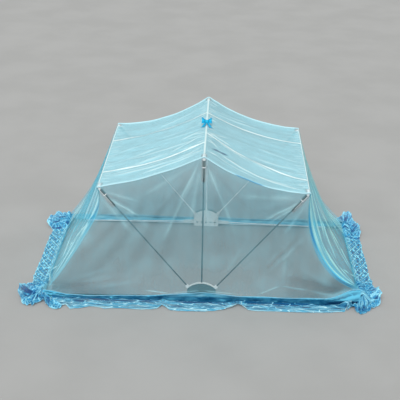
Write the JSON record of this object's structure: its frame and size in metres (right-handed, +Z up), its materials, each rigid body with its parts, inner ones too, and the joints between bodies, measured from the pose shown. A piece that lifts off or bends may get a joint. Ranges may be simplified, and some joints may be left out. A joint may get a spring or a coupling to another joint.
{
  "type": "folding mosquito net",
  "caption": "Free-standing hood mosquito net for a child's bed: U-shaped wire frames fan out from a hub on each long side and fold flat under a blue net with a lace skirt.",
  "frame": {"origin": "on the floor, in the middle of the net", "axes": "+X along the length to the right, +Y from the front hub to the back hub, +Z up"},
  "size_m": [1.3798, 0.8038, 0.6066],
  "materials": {
    "hub_plastic": "grey white moulded plastic",
    "white_plastic": "white moulded plastic",
    "grey_steel": "grey drawn steel",
    "rivet_steel": "dull rivet steel",
    "pale_tape": "pale blue binding tape",
    "blue_net": "fine light blue mesh, see-through",
    "blue_lace": "blue openwork lace",
    "blue_ribbon": "bright blue satin ribbon"
  },
  "bodies": {
    "root": {"front_hub_outer_plate": "hub_plastic", "front_hub_inner_plate": "hub_plastic", "front_left_lower_rivet": "rivet_steel", "front_left_upper_rivet": "rivet_steel", "front_ridge_rivet": "rivet_steel", "front_right_upper_rivet": "rivet_steel", "front_right_lower_rivet": "rivet_steel", "back_hub_outer_plate": "hub_plastic", "back_hub_inner_plate": "hub_plastic", "back_left_lower_rivet": "rivet_steel", "back_left_upper_rivet": "rivet_steel", "back_ridge_rivet": "rivet_steel", "back_right_upper_rivet": "rivet_steel", "back_right_lower_rivet": "rivet_steel", "ridge_front_socket": "white_plastic", "ridge_front_rod": "grey_steel", "ridge_front_elbow": "white_plastic", "ridge_back_socket": "white_plastic", "ridge_back_rod": "grey_steel", "ridge_back_elbow": "white_plastic", "ridge_cross_bar": "grey_steel", "ridge_casing": "pale_tape", "roof_net": "blue_net", "front_net": "blue_net", "back_net": "blue_net", "ribbon_bow": "blue_ribbon"},
    "left_lower": {"left_lower_front_socket": "white_plastic", "left_lower_front_rod": "grey_steel", "left_lower_front_elbow": "white_plastic", "left_lower_back_socket": "white_plastic", "left_lower_back_rod": "grey_steel", "left_lower_back_elbow": "white_plastic", "left_lower_cross_bar": "grey_steel", "left_side_net": "blue_net", "left_lace": "blue_lace"},
    "left_upper": {"left_upper_front_socket": "white_plastic", "left_upper_front_rod": "grey_steel", "left_upper_front_elbow": "white_plastic", "left_upper_back_socket": "white_plastic", "left_upper_back_rod": "grey_steel", "left_upper_back_elbow": "white_plastic", "left_upper_cross_bar": "grey_steel", "left_upper_casing": "pale_tape"},
    "right_upper": {"right_upper_front_socket": "white_plastic", "right_upper_front_rod": "grey_steel", "right_upper_front_elbow": "white_plastic", "right_upper_back_socket": "white_plastic", "right_upper_back_rod": "grey_steel", "right_upper_back_elbow": "white_plastic", "right_upper_cross_bar": "grey_steel", "right_upper_casing": "pale_tape"},
    "right_lower": {"right_lower_front_socket": "white_plastic", "right_lower_front_rod": "grey_steel", "right_lower_front_elbow": "white_plastic", "right_lower_back_socket": "white_plastic", "right_lower_back_rod": "grey_steel", "right_lower_back_elbow": "white_plastic", "right_lower_cross_bar": "grey_steel", "right_side_net": "blue_net", "right_lace": "blue_lace"}
  },
  "joints": [
    {"name": "left_lower_fold", "type": "hinge", "parent": "root", "child": "left_lower", "pos_m": [-0.038, 0, 0.018], "axis": [0, 1, 0], "range_deg": [0, 91.23], "deforming": ["left_side_net", "front_net", "back_net"]},
    {"name": "left_upper_fold", "type": "hinge", "parent": "root", "child": "left_upper", "pos_m": [-0.019, 0, 0.018], "axis": [0, 1, 0], "range_deg": [0, 39], "deforming": ["roof_net", "left_side_net", "front_net", "back_net"]},
    {"name": "right_lower_fold", "type": "hinge", "parent": "root", "child": "right_lower", "pos_m": [0.038, 0, 0.018], "axis": [0, -1, 0], "range_deg": [0, 91.23], "deforming": ["right_side_net", "front_net", "back_net"]},
    {"name": "right_upper_fold", "type": "hinge", "parent": "root", "child": "right_upper", "pos_m": [0.019, 0, 0.018], "axis": [0, -1, 0], "range_deg": [0, 39], "deforming": ["roof_net", "right_side_net", "front_net", "back_net"]}
  ],
  "couplings": [
    {"joint": "left_upper_fold", "follows": "left_lower_fold", "ratio": 0.4274},
    {"joint": "right_upper_fold", "follows": "right_lower_fold", "ratio": 0.4274}
  ]
}
